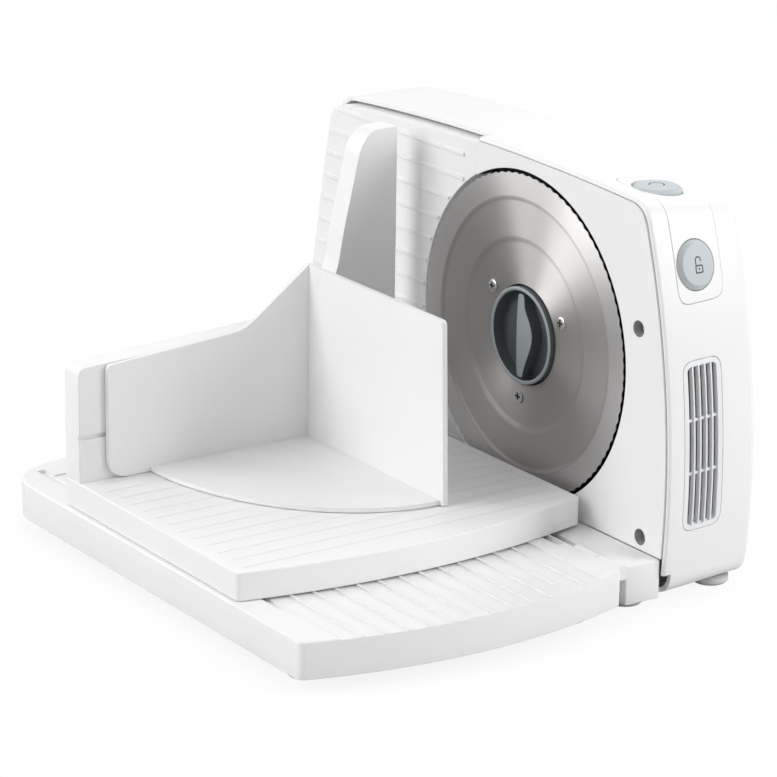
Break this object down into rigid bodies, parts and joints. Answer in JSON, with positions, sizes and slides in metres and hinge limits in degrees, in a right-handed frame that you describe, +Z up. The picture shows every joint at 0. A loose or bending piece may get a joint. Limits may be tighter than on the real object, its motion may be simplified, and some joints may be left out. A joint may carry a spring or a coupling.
{
  "type": "electric food slicer",
  "caption": "Electric food slicer: round blade in a slab housing, adjustable stop plate, sliding carriage with food holder, fold-up table, two push buttons.",
  "frame": {"origin": "middle of the slicer's footprint, at the level its feet stand on", "axes": "+X along the blade plate to the vented end, +Y from the food carriage into the housing, +Z up"},
  "size_m": [0.3492, 0.2908, 0.2061],
  "materials": {
    "white_plastic": "satin white moulded plastic",
    "soft_white": "fine matt white plastic",
    "grey_button": "light blue-grey plastic",
    "dark_plastic": "dark grey plastic",
    "blade_steel": "ground stainless steel",
    "bright_steel": "plated steel",
    "rubber": "soft rubber",
    "gear_plastic": "natural gear plastic",
    "motor_steel": "zinc plated sheet",
    "copper": "copper winding on a laminated core"
  },
  "bodies": {
    "housing": {"rear_shell": "white_plastic", "front_plate": "white_plastic", "upper_plate_screw": "bright_steel", "lower_plate_screw": "bright_steel", "switch_panel": "white_plastic", "top_button_spring": "bright_steel", "side_button_spring": "bright_steel", "top_switch": "dark_plastic", "side_switch": "dark_plastic", "vent_grille": "soft_white", "dial_ring": "soft_white", "blade_axle": "bright_steel", "gear_axle": "bright_steel", "gear_bracket": "motor_steel", "motor_can": "motor_steel", "plinth": "white_plastic", "plinth_screw_1": "bright_steel", "plinth_screw_2": "bright_steel", "foot_front_right": "rubber", "foot_front_left": "rubber", "foot_back_right": "rubber", "foot_back_left": "rubber", "hinge_pin_near": "bright_steel", "hinge_pin_far": "bright_steel", "cord_gland": "rubber"},
    "blade_set": {"blade": "blade_steel", "blade_wheel": "gear_plastic", "blade_screw_1": "bright_steel", "blade_screw_2": "bright_steel", "blade_screw_3": "bright_steel"},
    "lock_knob": {"lock_knob": "dark_plastic"},
    "reduction_gear": {"reduction_gear": "gear_plastic"},
    "motor_rotor": {"motor_rotor": "copper"},
    "stop_plate": {"stop_plate": "white_plastic"},
    "thickness_dial": {"thickness_dial": "grey_button"},
    "top_button": {"top_button": "grey_button"},
    "side_button": {"side_button": "grey_button"},
    "fold_table": {"fold_table": "white_plastic"},
    "carriage_glide": {"carriage_glide": "grey_button"},
    "carriage": {"carriage": "white_plastic"},
    "food_holder": {"food_holder": "white_plastic"}
  },
  "joints": [
    {"name": "blade_spin", "type": "hinge", "parent": "housing", "child": "blade_set", "pos_m": [0.03965, 0.0671, 0.11], "axis": [0, -1, 0], "continuous": true},
    {"name": "lock_knob_turn", "type": "hinge", "parent": "blade_set", "child": "lock_knob", "pos_m": [0.03965, 0.0671, 0.11], "axis": [0, -1, 0], "range_deg": [0, 90]},
    {"name": "gear_spin", "type": "hinge", "parent": "housing", "child": "reduction_gear", "pos_m": [0.08664, 0.0671, 0.1271], "axis": [0, -1, 0], "continuous": true},
    {"name": "rotor_spin", "type": "hinge", "parent": "housing", "child": "motor_rotor", "pos_m": [0.11064, 0.1021, 0.097], "axis": [0, 0, 1], "continuous": true},
    {"name": "thickness_dial_turn", "type": "hinge", "parent": "housing", "child": "thickness_dial", "pos_m": [-0.11635, 0.1304, 0.114], "axis": [0, -1, 0], "range_deg": [0, 300]},
    {"name": "stop_plate_slide", "type": "slide", "parent": "housing", "child": "stop_plate", "axis": [0, 1, 0], "range_m": [0, 0.01299]},
    {"name": "top_button_press", "type": "slide", "parent": "housing", "child": "top_button", "axis": [0, 0, -1], "range_m": [0, 0.003], "stiffness_N_per_m": 900, "springref_m": -0.0015, "deforming": ["top_button_spring"]},
    {"name": "side_button_press", "type": "slide", "parent": "housing", "child": "side_button", "axis": [-0.9571, -0.1171, -0.265], "range_m": [0, 0.003], "stiffness_N_per_m": 900, "springref_m": -0.0015, "deforming": ["side_button_spring"]},
    {"name": "table_fold", "type": "hinge", "parent": "housing", "child": "fold_table", "pos_m": [0.03965, 0.0441, 0.022], "axis": [-1, 0, 0], "range_deg": [0, 90]},
    {"name": "carriage_slide", "type": "slide", "parent": "housing", "child": "carriage_glide", "axis": [1, 0, 0], "range_m": [-0.055, 0.06]},
    {"name": "carriage_lift_off", "type": "slide", "parent": "carriage_glide", "child": "carriage", "axis": [0, 0, 1], "range_m": [0, 0.37]},
    {"name": "holder_slide", "type": "slide", "parent": "carriage", "child": "food_holder", "axis": [0, 1, 0], "range_m": [-0.012, 0.064]}
  ],
  "couplings": [
    {"joint": "gear_spin", "follows": "blade_spin", "ratio": -3},
    {"joint": "rotor_spin", "follows": "blade_spin", "ratio": 60},
    {"joint": "thickness_dial_turn", "follows": "stop_plate_slide", "rad_per_m": 402.77},
    {"joint": "carriage_lift_off", "follows": "table_fold", "m_per_rad": 0.23}
  ]
}
